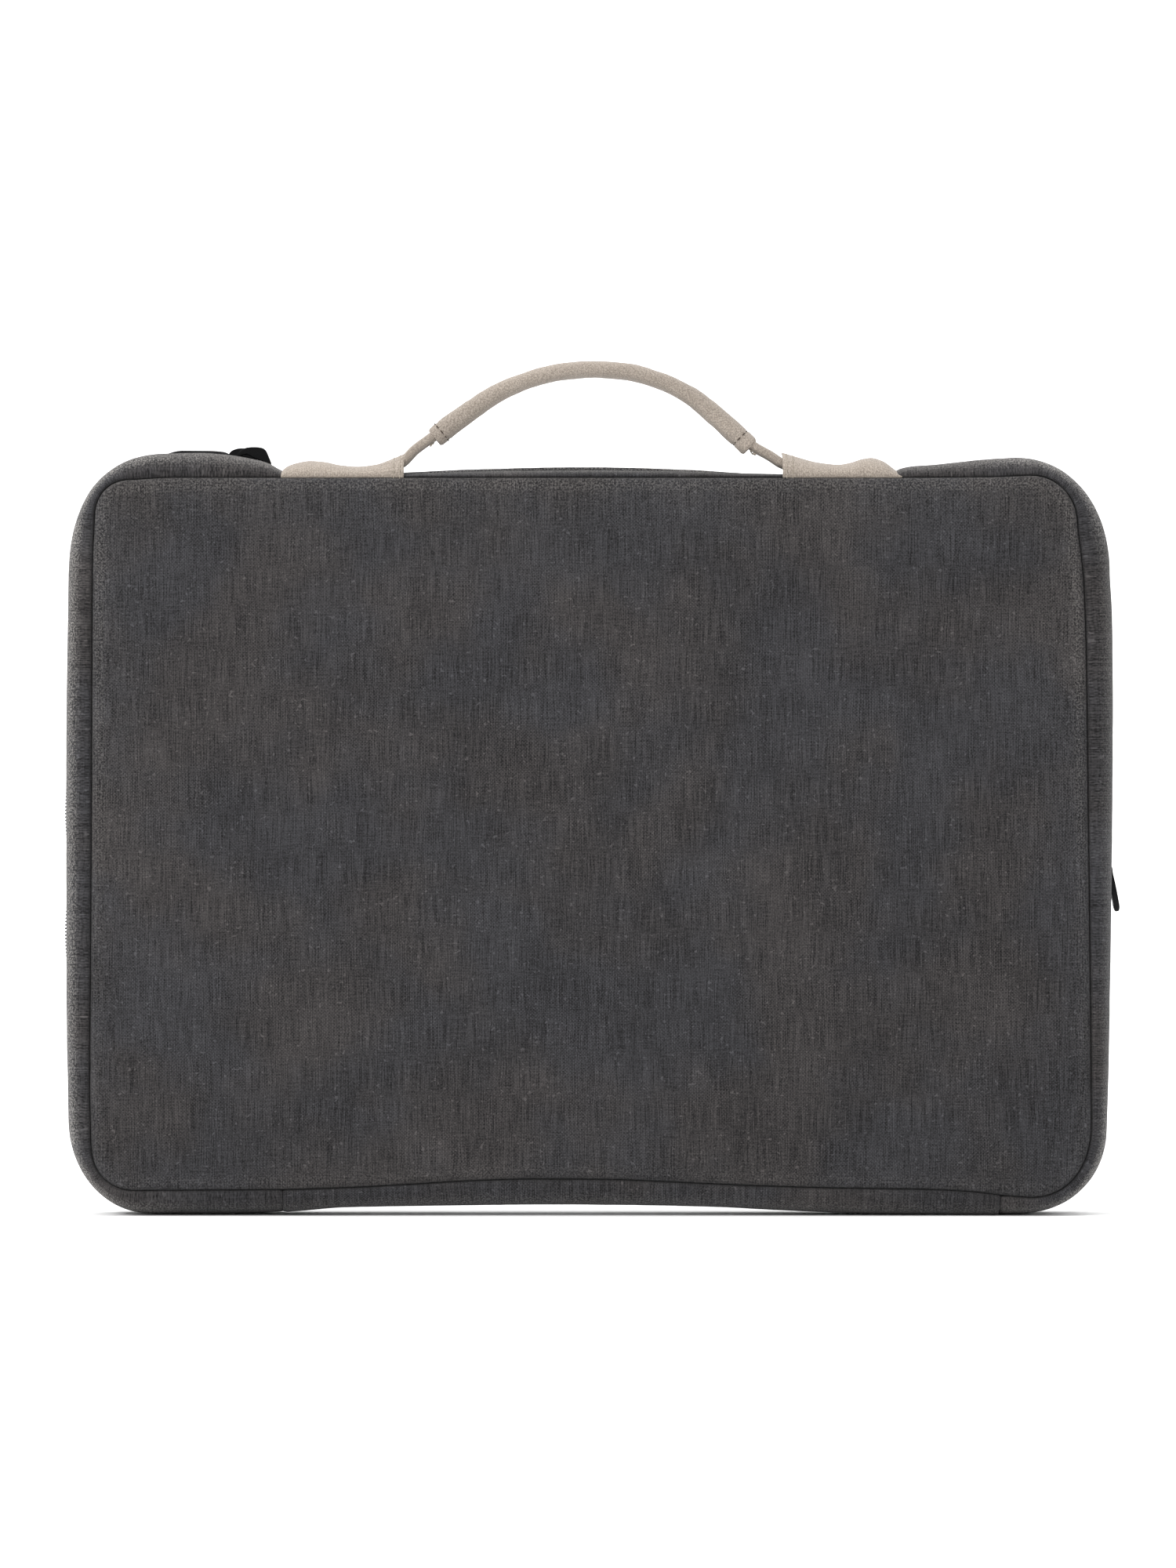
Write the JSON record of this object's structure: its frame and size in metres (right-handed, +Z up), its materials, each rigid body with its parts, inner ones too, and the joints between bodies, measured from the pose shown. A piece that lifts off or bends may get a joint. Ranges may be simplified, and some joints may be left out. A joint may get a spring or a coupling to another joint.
{
  "type": "laptop sleeve",
  "caption": "Padded canvas laptop sleeve with a clamshell back half that folds down, two zip sliders with pulls, and a top carry handle that folds over.",
  "frame": {"origin": "middle of the flat underside of the bottom gusset, on which the sleeve stands", "axes": "+X across the width, +Y from the front panel towards the back panel, +Z up towards the handle"},
  "size_m": [0.3735, 0.0336, 0.3019],
  "materials": {
    "charcoal_canvas": "washed cotton canvas, plain weave",
    "beige_canvas": "natural cotton canvas",
    "lining": "soft brushed lining",
    "foam": "closed-cell padding",
    "binding": "woven binding tape",
    "zip_tape": "herringbone zip tape",
    "zip_coil": "black nylon coil",
    "zip_metal": "gloss black enamel on zinc",
    "stitching": "spun polyester thread"
  },
  "bodies": {
    "front_half": {"front_panel": "charcoal_canvas", "front_padding": "foam", "front_lining": "lining", "front_seam_binding": "binding", "front_gusset_cloth": "charcoal_canvas", "front_gusset_padding": "foam", "front_gusset_lining": "lining", "front_zip_tape": "zip_tape", "front_zip_coil": "zip_coil", "zip_end_stops": "zip_metal", "bottom_gusset_cloth": "charcoal_canvas", "bottom_gusset_padding": "foam", "bottom_gusset_lining": "lining", "handle_anchor_left": "beige_canvas", "handle_anchor_right": "beige_canvas", "strap_tail_left": "beige_canvas", "strap_tail_right": "beige_canvas", "anchor_stitching": "stitching"},
    "back_half": {"back_panel": "charcoal_canvas", "back_padding": "foam", "back_lining": "lining", "back_seam_binding": "binding", "back_gusset_cloth": "charcoal_canvas", "back_gusset_padding": "foam", "back_gusset_lining": "lining", "back_zip_tape": "zip_tape", "back_zip_coil": "zip_coil"},
    "handle": {"handle_grip_wrap": "beige_canvas", "handle_strap": "beige_canvas", "handle_core": "foam", "grip_stitching": "stitching"},
    "slider_a": {"slider_a_body": "zip_metal"},
    "pull_a": {"slider_a_pull": "zip_metal"},
    "slider_b": {"slider_b_body": "zip_metal"},
    "pull_b": {"slider_b_pull": "zip_metal"}
  },
  "joints": [
    {"name": "back_half_fold", "type": "hinge", "parent": "front_half", "child": "back_half", "pos_m": [0, 0.0155, 0.0015], "axis": [-1, 0, 0], "range_deg": [0, 90]},
    {"name": "handle_fold", "type": "hinge", "parent": "front_half", "child": "handle", "pos_m": [0.001, -0.007, 0.2735], "axis": [1, 0, 0], "range_deg": [-90, 90]},
    {"name": "slider_a_slide", "type": "slide", "parent": "front_half", "child": "slider_a", "axis": [1, 0, 0], "range_m": [-0.03, 0.28]},
    {"name": "pull_a_swing", "type": "hinge", "parent": "slider_a", "child": "pull_a", "pos_m": [-0.125, 0.0045, 0.26735], "axis": [0, -1, 0], "range_deg": [0, 170]},
    {"name": "slider_b_slide", "type": "slide", "parent": "front_half", "child": "slider_b", "axis": [0, 0, 1], "range_m": [-0.088, 0.117]},
    {"name": "pull_b_swing", "type": "hinge", "parent": "slider_b", "child": "pull_b", "pos_m": [0.18585, 0.0045, 0.12], "axis": [0, -1, 0], "range_deg": [-8, 160]}
  ]
}
